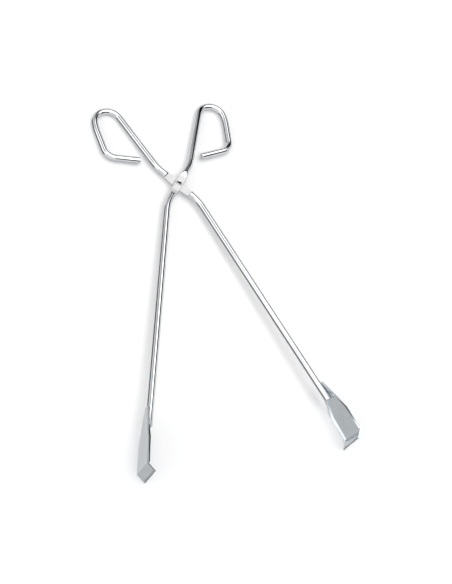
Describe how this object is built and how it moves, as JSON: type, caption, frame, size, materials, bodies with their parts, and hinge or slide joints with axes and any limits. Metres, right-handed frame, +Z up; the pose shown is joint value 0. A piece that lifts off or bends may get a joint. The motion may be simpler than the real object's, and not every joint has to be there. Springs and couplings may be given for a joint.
{
  "type": "scissor tongs",
  "caption": "Long riveted scissor tongs bent from round bar, with open loop handles and folded sheet jaws that end in toothed lips.",
  "frame": {"origin": "middle of the footprint, on the ground under the tongs as they lie flat on jaws and handles", "axes": "+Y along the tongs from the jaws to the handles, +X towards the rear arm's jaw, +Z up, close to the rivet's axis"},
  "size_m": [0.1932, 0.348, 0.0334],
  "materials": {
    "bar_chrome": "bright chrome plating on drawn steel bar",
    "jaw_sheet": "chrome plating on cold rolled sheet, slightly softer than the bar's",
    "rivet_metal": "bright plated steel rivet, dull in its hollow"
  },
  "bodies": {
    "rear_half": {"rear_arm": "bar_chrome", "rear_jaw": "jaw_sheet", "pivot_rivet": "rivet_metal"},
    "front_half": {"front_arm": "bar_chrome", "front_jaw": "jaw_sheet"}
  },
  "joints": [
    {"name": "tongs_pivot", "type": "hinge", "parent": "rear_half", "child": "front_half", "pos_m": [0, 0.09029, 0.00662], "axis": [0, 0.0395, 0.9992], "range_deg": [-72, 38.2]}
  ]
}
